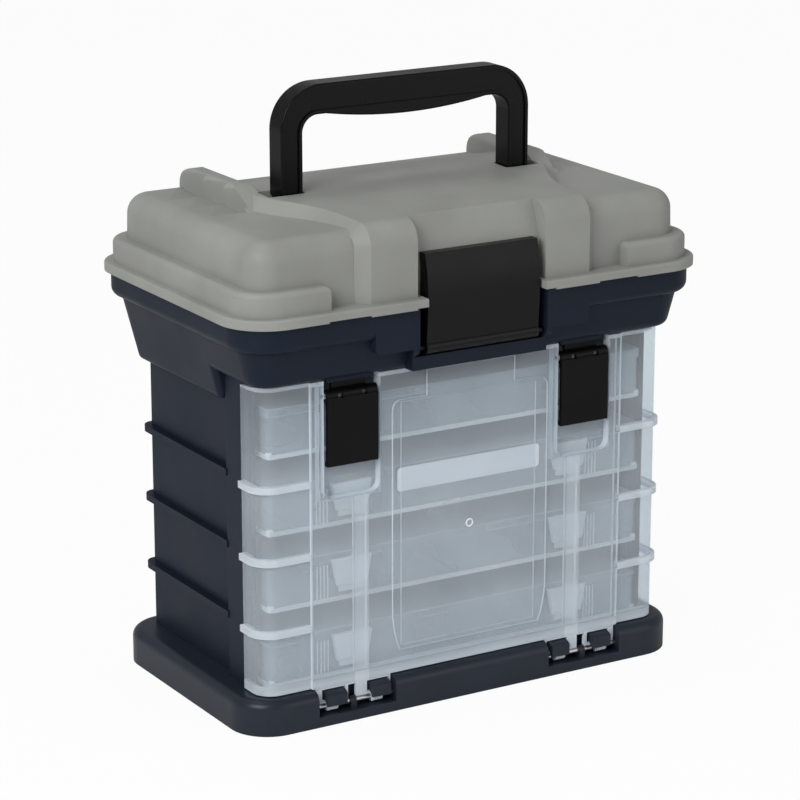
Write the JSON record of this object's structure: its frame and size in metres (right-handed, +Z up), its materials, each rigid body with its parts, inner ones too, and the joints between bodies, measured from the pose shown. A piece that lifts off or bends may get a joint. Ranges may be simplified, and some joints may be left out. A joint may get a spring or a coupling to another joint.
{
  "type": "rack tackle box",
  "caption": "Tackle box with a lidded top tub, a drop-down clear door and slide-out utility trays.",
  "frame": {"origin": "middle of the foot of the base, on the ground", "axes": "+Z up, +X to the right of someone facing the door, -Y toward that person (the door faces -Y)"},
  "size_m": [0.336, 0.21, 0.384],
  "materials": {
    "navy_plastic": "dark blue-grey moulded plastic, fine texture, satin",
    "grey_plastic": "warm grey moulded plastic, fine texture",
    "black_plastic": "black moulded plastic, satin",
    "clear_door": "milky clear moulded plastic, glossy",
    "clear_tray": "milky clear moulded plastic, satin",
    "steel_pin": "drawn steel wire"
  },
  "bodies": {
    "case": {"base_plinth": "navy_plastic", "rack_body": "navy_plastic", "top_tub": "navy_plastic", "door_hinge_pin_left": "steel_pin", "door_hinge_pin_right": "steel_pin", "lid_hinge_pin_left": "steel_pin", "lid_hinge_pin_right": "steel_pin", "main_latch_pin": "black_plastic"},
    "lid": {"lid": "grey_plastic", "handle_pin_left": "steel_pin", "handle_pin_right": "steel_pin"},
    "handle": {"carry_handle": "black_plastic"},
    "main_latch": {"main_latch": "black_plastic"},
    "door": {"door": "clear_door"},
    "door_latch_left": {"door_latch_left": "black_plastic"},
    "door_latch_right": {"door_latch_right": "black_plastic"},
    "tray_1": {"tray_1_bin": "clear_tray", "tray_1_dividers": "clear_tray", "tray_1_lid": "clear_tray", "tray_1_hinge_pin": "steel_pin", "tray_1_latch_left": "clear_tray", "tray_1_latch_right": "clear_tray"},
    "tray_2": {"tray_2_bin": "clear_tray", "tray_2_dividers": "clear_tray", "tray_2_lid": "clear_tray", "tray_2_hinge_pin": "steel_pin", "tray_2_latch_left": "clear_tray", "tray_2_latch_right": "clear_tray"},
    "tray_3": {"tray_3_bin": "clear_tray", "tray_3_dividers": "clear_tray", "tray_3_lid": "clear_tray", "tray_3_hinge_pin": "steel_pin", "tray_3_latch_left": "clear_tray", "tray_3_latch_right": "clear_tray"},
    "tray_4": {"tray_4_bin": "clear_tray", "tray_4_dividers": "clear_tray", "tray_4_lid": "clear_tray", "tray_4_hinge_pin": "steel_pin", "tray_4_latch_left": "clear_tray", "tray_4_latch_right": "clear_tray"}
  },
  "joints": [
    {"name": "lid_hinge", "type": "hinge", "parent": "case", "child": "lid", "pos_m": [0, 0.1016, 0.2565], "axis": [-1, 0, 0], "range_deg": [0, 100]},
    {"name": "handle_hinge", "type": "hinge", "parent": "lid", "child": "handle", "pos_m": [0, -0.0018, 0.325], "axis": [-1, 0, 0], "range_deg": [0, 85]},
    {"name": "main_latch_hinge", "type": "hinge", "parent": "case", "child": "main_latch", "pos_m": [0, -0.0954, 0.234], "axis": [1, 0, 0], "range_deg": [0, 100]},
    {"name": "door_hinge", "type": "hinge", "parent": "case", "child": "door", "pos_m": [0, -0.084, 0.011], "axis": [1, 0, 0], "range_deg": [0, 92]},
    {"name": "door_latch_left_hinge", "type": "hinge", "parent": "door", "child": "door_latch_left", "pos_m": [0, -0.082, 0.209], "axis": [-1, 0, 0], "range_deg": [0, 40]},
    {"name": "door_latch_right_hinge", "type": "hinge", "parent": "door", "child": "door_latch_right", "pos_m": [0, -0.082, 0.209], "axis": [-1, 0, 0], "range_deg": [0, 40]},
    {"name": "tray_1_slide", "type": "slide", "parent": "case", "child": "tray_1", "axis": [0, -1, 0], "range_m": [0, 0.0275]},
    {"name": "tray_2_slide", "type": "slide", "parent": "case", "child": "tray_2", "axis": [0, -1, 0], "range_m": [0, 0.055]},
    {"name": "tray_3_slide", "type": "slide", "parent": "case", "child": "tray_3", "axis": [0, -1, 0], "range_m": [0, 0.083]},
    {"name": "tray_4_slide", "type": "slide", "parent": "case", "child": "tray_4", "axis": [0, -1, 0], "range_m": [0, 0.1095]}
  ],
  "couplings": [
    {"joint": "tray_1_slide", "follows": "door_hinge", "m_per_rad": 0.017},
    {"joint": "tray_2_slide", "follows": "door_hinge", "m_per_rad": 0.034},
    {"joint": "tray_3_slide", "follows": "door_hinge", "m_per_rad": 0.0515},
    {"joint": "tray_4_slide", "follows": "door_hinge", "m_per_rad": 0.068}
  ]
}
